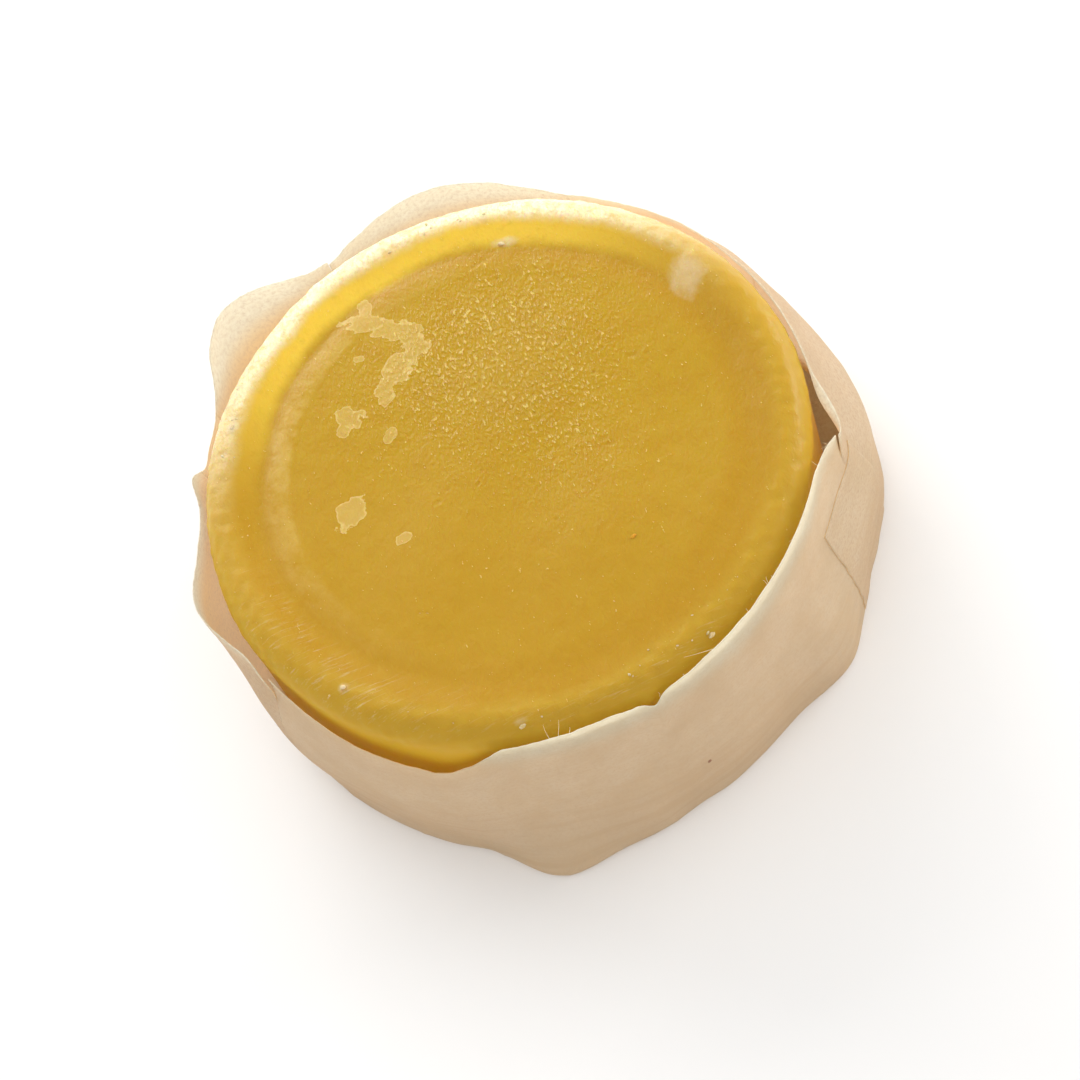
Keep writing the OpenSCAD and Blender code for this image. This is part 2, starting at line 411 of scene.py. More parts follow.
def sheet_parts(surface, span, columns, rows, thickness):
    """A thin closed sheet: a grid of points on surface(angle, share), moved half the thickness out and in
    along the surface's normal, with a strip of faces round its border."""
    angle, share = np.meshgrid(np.linspace(*span, columns), np.linspace(0, 1, rows), indexing="ij")
    middle = surface(angle, share)
    across = surface(angle + 0.05, share) - surface(angle - 0.05, share)
    up = surface(angle, share + 0.004) - surface(angle, share - 0.004)
    normal = np.cross(across, up)
    normal *= thickness / 2 / np.linalg.norm(normal, axis=-1)[..., None]
    vertices = np.concatenate([(middle + normal).reshape(-1, 3), (middle - normal).reshape(-1, 3)])
    index = np.arange(columns * rows).reshape(columns, rows)
    quads = np.stack([index[:-1, :-1], index[1:, :-1], index[1:, 1:], index[:-1, 1:]], -1).reshape(-1, 4)
    border = np.concatenate([index[:, 0], index[-1, 1:], index[-2::-1, -1], index[0, -2:0:-1]])
    after = np.roll(border, -1)
    back = columns * rows
    rim = np.stack([after, border, border + back, after + back], -1)
    uv = np.stack([np.radians(angle) * PATTERN_R, share * CREST_Z], -1).reshape(-1, 2)
    return vertices, np.concatenate([quads, quads[:, ::-1] + back]), rim, np.concatenate([uv, uv])


def sheet_object(name, surface, spans, rows, thickness, fields=None):
    """One object made of a thin closed sheet for each span of angles. The field called inner is 1 on the
    side that faces the soap."""
    parts = [sheet_parts(surface, s, int((s[1] - s[0]) / SHEET_STEP) + 1, rows, thickness) for s in spans]
    first = np.cumsum([0] + [len(p[0]) for p in parts[:-1]])
    vertices = np.concatenate([p[0] for p in parts])
    quads = np.concatenate([p[1] + n for p, n in zip(parts, first)])
    rims = np.concatenate([p[2] + n for p, n in zip(parts, first)])
    uv = np.concatenate([p[3] for p in parts])
    made = {key: field(vertices) for key, field in (fields or {}).items()}
    made["inner"] = np.concatenate([np.repeat([0.0, 1.0], len(p[0]) // 2) for p in parts])
    return new_mesh(name, vertices, [quads, rims], [True, False], uv, made)


def ring_faces(columns, rings):
    """Quads between rings of the same number of points, each ring closed, in ring-major order."""
    index = np.arange(columns * rings).reshape(rings, columns)
    after = np.roll(index, -1, axis=1)
    return np.stack([index[:-1], after[:-1], after[1:], index[1:]], -1).reshape(-1, 4)


def fans(columns, rings, first_pole, last_pole):
    """Triangles from the first ring to its pole and from the last ring to its pole."""
    low = np.arange(columns)
    high = low + columns * (rings - 1)
    return np.concatenate([
        np.stack([np.roll(low, -1), low, np.full(columns, first_pole)], -1),
        np.stack([high, np.roll(high, -1), np.full(columns, last_pole)], -1),
    ])


def soap_height(x, y):
    """Height of the plain face or shoulder of the soap above the table at x and y."""
    r, a = np.hypot(x, y), np.degrees(np.arctan2(y, x))
    flat = SOAP_R - SHOULDER_R
    round_off = np.sqrt(np.clip(SHOULDER_R**2 - np.maximum(r - flat, 0) ** 2, 0, None)) - SHOULDER_R
    return CREST_Z + np.where(r < flat, face_height(r, a), round_off)


def tubes(paths, radius, sides=5):
    """Thin hairs: for each path of points a ring of sides points about each point, at right angles to the
    path, thinner towards the far end, with a flat end at both sides."""
    count, steps, _ = paths.shape
    along = np.gradient(paths, axis=1)
    along /= np.linalg.norm(along, axis=-1)[..., None]
    side = np.cross(along, (0.3, 0.2, 0.93))
    side /= np.linalg.norm(side, axis=-1)[..., None]
    other = np.cross(along, side)
    t = np.linspace(0, 2 * math.pi, sides, endpoint=False)[None, None, :, None]
    taper = radius * np.linspace(1, 0.35, steps)[None, :, None, None]
    ring = np.cos(t) * side[:, :, None] + np.sin(t) * other[:, :, None]
    vertices = (paths[:, :, None] + taper * ring).reshape(-1, 3)
    first = np.arange(count)[:, None, None] * steps * sides
    quads = (ring_faces(sides, steps)[None] + first).reshape(-1, 4)
    cap = np.arange(sides)
    caps = np.concatenate([cap[::-1][None] + first[:, 0], cap[None] + (steps - 1) * sides + first[:, 0]])
    return vertices, quads, caps


# ------------------------------------------------------------------ materials

class Graph:
    """Adds nodes to one material, with plain values or other nodes' outputs as inputs."""

    def __init__(self, name):
        self.material = bpy.data.materials.new(name)
        self.material.use_nodes = True
        self.tree = self.material.node_tree
        self.tree.nodes.clear()
        self.out = self.tree.nodes.new("ShaderNodeOutputMaterial")

    def add(self, kind, inputs=None, **settings):
        """One node, with its input values or links by key and its settings by name."""
        node = self.tree.nodes.new("ShaderNode" + kind)
        for key, value in settings.items():
            setattr(node, key, value)
        for key, value in (inputs or {}).items():
            if isinstance(value, bpy.types.NodeSocket):
                self.tree.links.new(value, node.inputs[key])
            else:
                node.inputs[key].default_value = value
        return node

    def math(self, operation, a, b, clamp=False):
        """Two values joined by a sum, a product or a difference."""
        return self.add("Math", {0: a, 1: b}, operation=operation, use_clamp=clamp).outputs[0]

    def step(self, value, low, high, out_low=0.0, out_high=1.0):
        """Smooth step from out_low at low to out_high at high."""
        return self.add("MapRange", {"Value": value, "From Min": low, "From Max": high,
                                     "To Min": out_low, "To Max": out_high},
                        interpolation_type="SMOOTHSTEP").outputs["Result"]

    def mix(self, share, a, b, blend="MIX"):
        return self.add("Mix", {0: share, 6: a, 7: b}, data_type="RGBA", blend_type=blend).outputs[2]

    def noise(self, place, size, detail=2.0, rough=0.5):
        """Cloudy noise with lumps of about one size, in millimetres."""
        return self.add("TexNoise", {"Vector": place, "Scale": 1 / size, "Detail": detail,
                                     "Roughness": rough}).outputs["Fac"]

    def place(self, scale=(1, 1, 1), turn_z=0.0, source="Object"):
        """Coordinates in millimetres, of the object or of the UV map named by source."""
        if source == "Object":
            coords, k = self.add("TexCoord").outputs["Object"], 1 / MM
        else:
            coords, k = self.add("UVMap", uv_map=source).outputs["UV"], 1.0
        return self.add("Mapping", {"Vector": coords, "Rotation": (0, 0, math.radians(turn_z)),
                                    "Scale": [k * s for s in scale]}).outputs["Vector"]

    def field(self, name):
        return self.add("Attribute", attribute_name=name, attribute_type="GEOMETRY").outputs["Fac"]

    def bump(self, height, depth, normal=None):
        """Normal tilted by a height field that spans a depth in millimetres."""
        inputs = {"Height": height, "Distance": depth * MM, "Strength": 1.0}
        if normal is not None:
            inputs["Normal"] = normal
        return self.add("Bump", inputs).outputs["Normal"]

    def end(self, shader):
        """Joins the shader to the surface and gives the material."""
        self.tree.links.new(shader.outputs[0], self.out.inputs["Surface"])
        return self.material


def rgba(colour):
    """A colour property as the four numbers that a colour socket takes."""
    return (*colour[:3], 1.0)


def soap_material(s):
    """Waxy, slightly clear soap: rings of colour by radius, with painted light on the side of the window as a
    glowing groove and a pale rim highlight, deeper amber down the side, painted shade as deeper amber along
    the front, film, frosting and scuffs from the mesh's own fields, fine glossy pebbles where the pits are
    with painted glints on them, and grain in the surface."""
    g = Graph("Soap")
    p = g.place()
    flat = g.add("VectorMath", {0: p, 1: (1, 1, 0)}, operation="MULTIPLY").outputs[0]
    radius = g.add("VectorMath", {0: flat}, operation="LENGTH").outputs["Value"]
    height = g.add("SeparateXYZ", {0: p}).outputs["Z"]
    cloud = g.math("SUBTRACT", g.noise(p, 9, 4, 0.6), 0.5)
    fine = g.noise(p, 1.3, 4, 0.65)
    radius = g.math("ADD", radius, g.math("MULTIPLY", cloud, 2.4))
    window = g.field("window_side")
    middle, groove, rim = rgba(s.middle_colour), rgba(s.groove_and_front_shade_colour), rgba(s.rim_colour)
    # Painted shade: the front of the face, away from the lights, is painted towards the deeper amber of the
    # groove colour; the same mask also makes it rougher below.
    across = g.add("VectorMath", {0: p, 1: (0.426, 0.784, 0)}, operation="DOT_PRODUCT").outputs["Value"]
    front = g.step(g.math("ADD", across, g.math("MULTIPLY", cloud, 14)), -24, 12, 1, 0)
    colour = g.mix(g.math("MULTIPLY", front, 0.6), middle, groove)
    colour = g.mix(g.step(radius, 24.4, 27.6), colour, groove)
    colour = g.mix(g.step(g.noise(p, 3.4, 4, 0.6), 0.42, 0.7, 0, 0.6), colour, groove)
    # Painted light: the groove on the window side is painted a brighter yellow where light would shine
    # through the rim.
    colour = g.mix(g.math("MULTIPLY", window, g.step(radius, 27.2, 29.2)), colour, rgba(s.glow_colour))
    colour = g.mix(g.step(radius, 29.9, 32.3, 0, 0.8), colour, rim)
    # Painted highlight: the rim on the window side is painted pale, standing in for light on the rim; the
    # same mask also makes it glossier further down.
    rim_highlight = g.math("MULTIPLY", window, g.step(radius, 30.2, 32.2))
    rim_highlight = g.math("MULTIPLY", rim_highlight, g.step(fine, 0.3, 0.6, 0.5, 1.0))
    colour = g.mix(g.math("MULTIPLY", rim_highlight, 0.96), colour, rgba(s.rim_highlight_colour))
    colour = g.mix(g.step(height, 27.2, 23.5, 0, 0.85), colour, rgba(s.side_colour))
    colour = g.mix(g.step(fine, 0.48, 0.8, 0, 0.3), colour, rim)
    ridge = g.math("MULTIPLY", g.field("ridge"), g.step(g.noise(p, 2.2, 4, 0.6), 0.3, 0.65, 0.02, 0.28))
    colour = g.mix(ridge, colour, rgba(s.film_colour))
    ragged = g.math("MULTIPLY", g.math("SUBTRACT", g.noise(p, 1.5, 3), 0.5), 3.2)
    film = g.math("ADD", g.field("film"), ragged)
    skin = g.step(film, 0.0, 0.12)
    outline = g.math("MULTIPLY", skin, g.step(film, 0.12, 0.5, 1, 0))
    film_share = g.math("ADD", g.math("MULTIPLY", skin, 0.28), g.math("MULTIPLY", outline, 0.34), True)
    colour = g.mix(film_share, colour, rgba(s.film_colour))
    hairs = g.step(g.noise(g.place((0.2, 2.6, 1), turn_z=62), 1.0, 4, 0.75), 0.52, 0.78)
    scuff = g.math("MULTIPLY", hairs, g.field("scuff"))
    colour = g.mix(g.math("MULTIPLY", scuff, 0.4), colour, rgba(s.frost_colour))
    frost = g.step(g.math("ADD", g.field("frost"), ragged), -1.4, 1.6, 0, 0.42)
    colour = g.mix(frost, colour, rgba(s.frost_colour))
    wet = g.math("ADD", g.field("pits"), g.math("MULTIPLY", rim_highlight, 0.6), True)
    pebbles = g.noise(g.place((1, 0.6, 1), turn_z=-66), 0.34, 2, 0.5)
    patchy = g.math("MULTIPLY", g.math("SUBTRACT", g.noise(p, 2.6, 2), 0.5), 0.15)
    drops = g.math("ADD", g.math("ADD", pebbles, patchy), g.math("MULTIPLY", wet, 0.17))
    # Painted highlight: the fine pits are painted a bright pale yellow as glints; the same mask also raises
    # them in the bump below.
    pit = g.step(drops, 0.75, 0.8)
    colour = g.mix(g.math("MULTIPLY", pit, 0.5), colour, rgba(s.sparkle_colour))
    normal = g.bump(g.noise(p, 0.4, 4, 0.6), 0.015)
    normal = g.bump(g.noise(p, 2.0, 4), 0.1, normal)
    normal = g.bump(skin, 0.05, normal)
    normal = g.bump(scuff, 0.04, normal)
    normal = g.bump(g.math("MULTIPLY", pebbles, wet), 0.28, normal)
    normal = g.bump(pit, 0.06, normal)
    rough = g.math("ADD", g.math("MULTIPLY", g.noise(p, 3, 3), 0.2), g.math("MULTIPLY", front, 0.14))
    rough = g.math("SUBTRACT", g.math("ADD", rough, 0.34), g.math("MULTIPLY", wet, 0.2))
    rough = g.math("ADD", rough, g.math("MULTIPLY", frost, 0.4), True)
    shader = g.add("BsdfPrincipled", {
        "Base Color": colour, "Roughness": rough, "Normal": normal, "Coat Normal": normal,
        "Subsurface Weight": s.clearness, "Subsurface Radius": (1.0, 0.5, 0.12),
        "Subsurface Scale": s.depth, "Coat Weight": 0.05, "Coat Roughness": 0.12,
        "Specular IOR Level": 0.28, "IOR": 1.45})
    return g.end(shader)


def crumb_material(s):
    """Chips and flecks of dried soap, pale or orange by the mesh's own field."""
    g = Graph("Soap_crumbs")
    p = g.place()
    colour = g.mix(g.field("orange"), rgba(s.frost_colour), (0.85, 0.3, 0.02, 1))
    colour = g.mix(g.step(g.noise(p, 0.4, 2), 0.3, 0.7, 0.3, 0.65), colour, rgba(s.middle_colour))
    shader = g.add("BsdfPrincipled", {
        "Base Color": colour, "Roughness": g.step(g.noise(p, 0.2, 2), 0.2, 0.8, 0.5, 0.8),
        "Specular IOR Level": 0.3,
        "Normal": g.bump(g.noise(p, 0.15, 3), 0.04), "Subsurface Weight": 0.4,
        "Subsurface Radius": (1.0, 0.6, 0.3), "Subsurface Scale": 0.0006})
    return g.end(shader)


def paper_material(name, s, tint=1.0):
    """Thin waxed paper: cloudy tone, darker towards the foot, level streaks and fibres along the sheet, fine
    grain, small marks from the mesh's own field, amber soap on the lower inside, and light coming
    through from behind."""
    g = Graph(name)
    p = g.place(source="Sheet")
    height = g.add("SeparateXYZ", {0: g.place()}).outputs["Z"]
    fibres = g.noise(g.place((0.5, 2.6, 1), source="Sheet"), 0.8, 4, 0.65)
    streaks = g.noise(g.place((0.06, 1.0, 1), source="Sheet"), 1.1, 3, 0.6)
    grain = g.noise(p, 0.42, 4, 0.7)
    cloud = g.noise(p, 7, 4, 0.6)
    light, dark = rgba(s.paper_colour), rgba(s.shade_colour)
    colour = g.mix(g.step(cloud, 0.35, 0.7, 0, 0.6), light, dark)
    colour = g.mix(g.step(grain, 0.42, 0.7, 0, 0.65), colour, dark)
    colour = g.mix(g.step(fibres, 0.48, 0.75, 0, 0.4), colour, dark)
    low = g.step(height, 14, 0, 0, 1)
    streaked = g.math("MULTIPLY", g.step(streaks, 0.42, 0.68), g.math("ADD", low, 0.2, True))
    colour = g.mix(streaked, colour, dark)
    # The paper is made darker towards the bottom with the foot colour.
    colour = g.mix(g.math("MULTIPLY", low, 0.5), colour, rgba(s.foot_colour))
    colour = g.mix(1.0, colour, (tint, tint, tint, 1), "MULTIPLY")
    soapy = g.math("MULTIPLY", g.field("inner"), g.step(height, 25.5, 22, 0, 0.95))
    colour = g.mix(soapy, colour, rgba(s.stain_colour))
    mark = g.step(g.math("ADD", g.field("mark"), g.math("MULTIPLY", grain, 0.3)), 0.1, 0.4)
    colour = g.mix(g.math("MULTIPLY", mark, 0.85), colour, rgba(s.mark_colour))
    normal = g.bump(grain, 0.04)
    normal = g.bump(fibres, 0.07, normal)
    normal = g.bump(g.noise(p, 3.5, 3), 0.22, normal)
    rough = g.step(g.noise(p, 1.3, 2), 0.3, 0.7, 0.5, 0.68)
    face = g.add("BsdfPrincipled", {"Base Color": colour, "Roughness": rough, "Normal": normal,
                                    "Specular IOR Level": 0.35})
    pale = g.mix(0.55, colour, (1, 0.98, 0.94, 1))
    through = g.add("BsdfTranslucent", {"Color": pale, "Normal": normal})
    return g.end(g.add("MixShader", {0: s.glow, 1: face.outputs[0], 2: through.outputs[0]}))


def fibre_material(s):
    """Loose paper fibres."""
    g = Graph("Torn_fibres")
    p = g.place()
    colour = g.mix(g.noise(p, 0.8, 2), rgba(s.paper_colour), (0.95, 0.78, 0.42, 1))
    return g.end(g.add("BsdfPrincipled", {
        "Base Color": colour, "Roughness": g.step(g.noise(p, 0.5, 2), 0.2, 0.8, 0.5, 0.8),
        "Normal": g.bump(g.noise(p, 0.2, 2), 0.01)}))


def floor_material(s):
    """Plain pale table top with a faint grain."""
    g = Graph("Table_top")
    p = g.place()
    tone = rgba(s.floor_colour)
    colour = g.mix(g.step(g.noise(p, 40, 3), 0.3, 0.7, 0, 0.3), tone, [0.985 * c for c in tone[:3]] + [1])
    return g.end(g.add("BsdfPrincipled", {"Base Color": colour, "Specular IOR Level": 0.15,
                                          "Roughness": g.step(g.noise(p, 6, 2), 0.3, 0.7, 0.8, 0.9)}))


# ------------------------------------------------------------------ settings

def metres(name, description, default, low, high):
    """A length."""
    return FloatProperty(name=name, description=description, default=default, min=low, max=high,
                         subtype="DISTANCE", unit="LENGTH", precision=5)


def paint(name, description, default):
    """A colour."""
    return FloatVectorProperty(name=name, description=description, default=default, size=3,
                               subtype="COLOR", min=0, max=1)


def fraction(name, description, default):
    """A share from 0 to 1."""
    return FloatProperty(name=name, description=description, default=default, min=0, max=1,
                         subtype="FACTOR")


def watts(name, description, default):
    """The power of a light."""
    return FloatProperty(name=name, description=description, default=default, min=0, max=50,
                         subtype="POWER", unit="POWER")


class SoapSettings(PropertyGroup):
    """What a user can change about the soap."""

    wobble: metres("Wobble", "How far the moulded face and rim wander", 0.00012, 0, 0.0003)
    lumps: metres("Lumps", "Height of the small lumps of the face", 0.000009, 0, 0.0001)
    ripples: metres("Rim ripples", "Height of the ripples on the left of the rim", 0.00003, 0, 0.0002)
    pit_count: IntProperty(name="Pits", description="Number of larger pits in the face",
                           default=170, min=0, max=400)
    pit_share: fraction("Fine pits", "Share of the surface cells that hold a fine pit", 0.85)
    crumb_count: IntProperty(name="Crumbs", description="Number of loose flecks of soap near the rim",
                             default=34, min=0, max=80)
    middle_colour: paint("Middle", "Colour of the middle of the face", (0.5, 0.3, 0.004))
    # Also used as painted shade along the front of the face.
    groove_and_front_shade_colour: paint("Groove", "Colour of the soap in the moulded groove", (0.48, 0.262, 0.001))
    rim_colour: paint("Rim", "Colour of the rim", (0.53, 0.33, 0.02))
    film_colour: paint("Film", "Colour of the dried film", (0.8, 0.62, 0.24))
    # Painted highlight: bright colour of the fine pits, standing in for glints on them.
    sparkle_colour: paint("Pits", "Colour of the glossy fine pits", (0.95, 0.76, 0.28))
    # Painted light: groove colour on the window side, standing in for light that shines through the rim.
    glow_colour: paint("Glow", "Colour of the groove where light comes through the rim", (0.86, 0.6, 0.06))
    # Painted highlight: pale rim colour on the window side, standing in for light on the rim.
    rim_highlight_colour: paint("Dry rim", "Colour of the dry rim on the window side", (1.0, 0.96, 0.7))
    side_colour: paint("Side", "Colour of the side of the soap", (0.6, 0.33, 0.002))
    frost_colour: paint("Frosting", "Colour of white frosting and chips", (0.84, 0.74, 0.54))
    clearness: fraction("Clearness", "How much of the light scatters inside the soap", 0.75)
    depth: metres("Scatter depth", "How far red light travels inside the soap", 0.0028, 0.0001, 0.01)


class WrapperSettings(PropertyGroup):
    """What a user can change about the paper."""

    thickness: metres("Thickness", "Thickness of the paper", 0.00011, 0.00005, 0.0003)
    creases: metres("Creases", "Height of the dents and creases", 0.00016, 0, 0.0006)
    rag: metres("Raggedness", "Height of the ragged bits of the torn edge", 0.00008, 0, 0.0004)
    rows: IntProperty(name="Rows", description="Rows of faces from the base to the torn edge",
                      default=76, min=20, max=90)
    fibre_count: IntProperty(name="Loose fibres", description="Number of short fibres along the tear",
                             default=12, min=0, max=200)
    paper_colour: paint("Paper", "Colour of the paper", (0.93, 0.9, 0.76))
    shade_colour: paint("Paper shade", "Colour of the darker fibres", (0.8, 0.72, 0.54))
    # The foot colour makes the paper darker towards the bottom.
    foot_colour: paint("Foot", "Colour of the worn foot of the paper", (0.77, 0.65, 0.5))
    stain_colour: paint("Soapy inside", "Colour of the soap left on the lower inside", (1.0, 0.64, 0.14))
    mark_colour: paint("Marks", "Colour of the small marks", (0.3, 0.09, 0.05))
    glow: fraction("Glow", "Share of light that passes through the paper", 0.6)


class StageSettings(PropertyGroup):
    """What a user can change about the table and the light."""

    floor_colour: paint("Table", "Colour of the table top", (0.95, 0.95, 0.95))
    key_power: watts("Key light", "Power of the main light", 1.2)
    window_power: watts("Window", "Power of the thin bright light behind", 1.3)
    side_power: watts("Side light", "Power of the soft light at the back right", 1.6)
    fill_power: watts("Fill light", "Power of the soft front light", 0.6)
    sky: FloatProperty(name="Sky", description="Strength of the even light from all round",
                       default=0.83, min=0, max=3)
    key_colour: paint("Key colour", "Colour of the main light", (1.0, 0.98, 0.95))
    fill_colour: paint("Fill colour", "Colour of the front light", (1.0, 0.86, 0.7))


# ------------------------------------------------------------------ operators

def dress(piece, material):
    """Gives a piece its material."""
    piece.data.materials.append(material)


class BuildSoap(Operator):
    """Builds the soap as one closed mesh of rings, with its moulded face, pits, film and scuffs"""

    bl_idname = "soap_puck.build_soap"
    bl_label = "Soap"

    def execute(self, context):
        s = context.scene.soap_settings
        columns = FACE_COLUMNS
        radius, height, out_r, out_z = soap_rings()
        rings = len(radius)
        angle = np.linspace(0, 360, columns, endpoint=False)[None, :]
        radius, height, out_r, out_z = (a[:, None] for a in (radius, height, out_r, out_z))
        p = polar(radius, angle, height)
        x, y = p[..., 0], p[..., 1]
        top = ease(out_z, 0.5, 1) * np.ones_like(x)
        flat = (height == CREST_Z) & (radius < SOAP_R - SHOULDER_R)
        moved = np.where(flat, face_height(radius * np.ones_like(angle), angle), 0.0)
        wobble = s.wobble / MM
        # Slow wobble and small lumps, then ripples 1.15 mm apart on the rim's left side, and its lumps
        moved = moved + wobble * waves(p, 17, 31) - wobble * (1 - top)
        moved += s.lumps / MM * (waves(p, 2.6, 32) + waves(p, 5.5, 33)) * ease(out_z, 0.2, 0.6)
        rim = ease(radius, 30.6, 32) * ease(height, 24, 25.5)
        rippled = np.exp(-((turn(angle, 152) / 20) ** 2)) * rim * (0.6 + waves(p, 3, 35))
        moved += s.ripples / MM * rippled * np.sin(2 * math.pi * (p @ (0.35, 0.94, 0.0)) / 1.15)
        moved += 0.05 * rim * waves(p, 1.7, 34)
        moved += 0.06 * ease(ellipses(x, y, FROST), 0, 0.8) * top
        moved -= 0.06 * ease(ellipses(x, y, DENTS), 0, 0.8) * top
        # Each pit is a hollow exp(-1.4 d^2) inside a low ring, where d is the distance over its radius
        for px, py, size, depth in pit_places(s.pit_count, 41).T:
            away = ((x - px) ** 2 + (y - py) ** 2) / size**2
            moved += top * depth * (0.55 * np.exp(-((np.sqrt(away) - 1.3) ** 2) * 6) - np.exp(-away * 1.4))
        p = p + moved[..., None] * (polar(out_r, angle, 0.0) + (0, 0, 1) * out_z[..., None])
        poles = np.array([[0, 0, SOAP_BOTTOM], [0, 0, p[-1, :, 2].mean()]])
        scuffed = np.exp(-((turn(angle, 212) / 26) ** 2)) * ease(radius, 27.5, 30.5) * ease(height, 26, 27.5)
        scuffed = scuffed + 0.7 * np.exp(-((turn(angle, 278) / 28) ** 2)) * ease(radius, 31, 33) * top
        pits = np.exp(-(((x - 3) / 15) ** 2 + ((y - 14) / 10) ** 2))
        pits = s.pit_share * (pits + 0.6 * np.exp(-(((x - 7) / 10) ** 2 + ((y - 1) / 12) ** 2))) * top
        ridge = ease(radius, 24.0, 24.8) - ease(radius, 26.4, 27.8)
        ridge = ridge * np.exp(-((turn(angle, 143) / 52) ** 2))
        fields = {
            "film": ellipses(x, y, FILM) - OUTSIDE * (1 - top),
            "frost": ellipses(x, y, FROST) - OUTSIDE * (1 - top),
            "scuff": scuffed,
            "pits": pits + 0.2 * top,
            "ridge": ridge * top,
            # Side that faces the Key and Window lights: the mask of the painted glow and the painted rim
            # highlight.
            "window_side": (1 - ease(np.abs(turn(angle, 91)), 25, 82)) * np.ones_like(x),
        }
        fields = {name: np.concatenate([field.ravel(), [field[0].mean(), field[-1].mean()]])
                  for name, field in fields.items()}
        count = columns * rings
        faces = [ring_faces(columns, rings), fans(columns, rings, count, count + 1)]
        vertices = np.concatenate([p.reshape(-1, 3), poles])
        soap = new_mesh("soap_cake", vertices, faces, [True, True], fields=fields)
        dress(soap, soap_material(s))
        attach(soap, "puck")
        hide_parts("soap_puck")
        return {"FINISHED"}


class BuildCrumbs(Operator):
    """Builds the chips and flecks of dried soap that lie on the rim and face"""

    bl_idname = "soap_puck.build_crumbs"
    bl_label = "Crumbs"

    def execute(self, context):
        s = context.scene.soap_settings
        rng = np.random.default_rng(51)
        n = s.crumb_count
        angle = np.radians(rng.choice(CRUMB_ANGLES, n) + rng.normal(0, 9, n))
        radius = rng.uniform(30.8, 33.6, n)
        size = rng.uniform(0.08, 0.18, n)
        loose = np.stack([radius * np.cos(angle), radius * np.sin(angle), size * rng.uniform(0.8, 2, n), size,
                          rng.uniform(0, 180, n), np.zeros(n)])
        x, y, half_length, half_width, angle, orange = np.concatenate([np.array(CHIPS).T, loose], axis=1)
        sides, levels = 8, 5
        t = np.linspace(0, math.pi, levels + 2)[1:-1][:, None]
        around = np.linspace(0, 2 * math.pi, sides, endpoint=False)[None, :]
        ball = np.stack([np.sin(t) * np.cos(around), np.sin(t) * np.sin(around),
                         -np.cos(t) * np.ones_like(around)], -1).reshape(-1, 3)
        ball = np.concatenate([ball, [[0, 0, -1], [0, 0, 1]]])
        count = len(x)
        lumpy = ball[None] * rng.uniform(0.7, 1.15, (count, len(ball), 1))
        cos_a, sin_a = np.cos(np.radians(angle))[:, None], np.sin(np.radians(angle))[:, None]
        u, v = lumpy[..., 0] * half_length[:, None], lumpy[..., 1] * half_width[:, None]
        z = (soap_height(x, y) + 0.2 * half_width)[:, None] + lumpy[..., 2] * 0.6 * half_width[:, None]
        vertices = np.stack([x[:, None] + u * cos_a - v * sin_a, y[:, None] + u * sin_a + v * cos_a, z], -1)
        vertices = vertices.reshape(-1, 3)
        first = np.arange(count)[:, None, None] * len(ball)
        quads = (ring_faces(sides, levels)[None] + first).reshape(-1, 4)
        ends = (fans(sides, levels, sides * levels, sides * levels + 1)[None] + first).reshape(-1, 3)
        crumbs = new_mesh("soap_crumbs", vertices, [quads, ends], [True, True],
                          fields={"orange": np.repeat(orange, len(ball))})
        dress(crumbs, crumb_material(s))
        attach(crumbs, "puck")
        return {"FINISHED"}


def paper_marks(vertices):
    """Field of the small specks on the wall, each an ellipse round the paper: 1 in the middle and 0 on
    the outline."""
    angle = np.degrees(np.arctan2(vertices[:, 1], vertices[:, 0])) % 360
    along = np.radians(angle) * MARK_R
    fields = [1 - (along - math.radians(a) * MARK_R) ** 2 / w**2 - (vertices[:, 2] - z) ** 2 / h**2
              for a, z, w, h in SPECKS]
    return np.maximum(np.maximum.reduce(fields), -3)


def sheet_size(span_degrees):
    """Flat width and length in metres of a span of the wall: arc at the paper's mean radius, by the mean
    length of the paper from the tucked edge to the tear."""
    a = np.linspace(0, 360, 720)
    path = TUCK + CORNER * math.pi / 2 + torn_top(a, 0).mean() - TUCK_Z - CORNER
    return math.radians(span_degrees) * PAPER_R * MM, path * MM


class BuildWall(Operator):
    """Builds the standing wall of the wrapper between the torn flaps, round the bottom corner to its tuck"""

    bl_idname = "soap_puck.build_wall"
    bl_label = "Wrapper wall"

    def execute(self, context):
        s = context.scene.wrapper_settings

        def surface(angle, along):
            return wall_surface(angle, along, s.rag / MM, s.creases / MM)

        wall = sheet_object("wrapper_wall_paper", surface, WALL_SPANS, s.rows, s.thickness / MM,
                            {"mark": paper_marks})
        dress(wall, paper_material("Wrapper_paper", s))
        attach(wall, "wrapper")
        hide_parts("wrapper_wall")
        sheet_size(sum(b - a for a, b in WALL_SPANS))
        return {"FINISHED"}


class BuildFlaps(Operator):
    """Builds the four torn flaps, each a strip of the wall that bends outwards above the hinge height"""

    bl_idname = "soap_puck.build_flaps"
    bl_label = "Torn flaps"

    def execute(self, context):
        s = context.scene.wrapper_settings
        paper = paper_material("Flap_paper", s)
        for name, span in FLAPS.items():
            corners = [c[1:] for c in CORNERS if c[0] == name]

            def surface(angle, along, corners=corners):
                return wall_surface(angle, along, s.rag / MM, s.creases / MM, corners)

            flap = sheet_object(name + "_paper", surface, [span], s.rows, s.thickness / MM)
            dress(flap, paper)
            middle = polar(SOAP_R, sum(span) / 2, 0.0) * MM
            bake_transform(flap)
            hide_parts(name)
            sheet_size(span[1] - span[0])
        return {"FINISHED"}


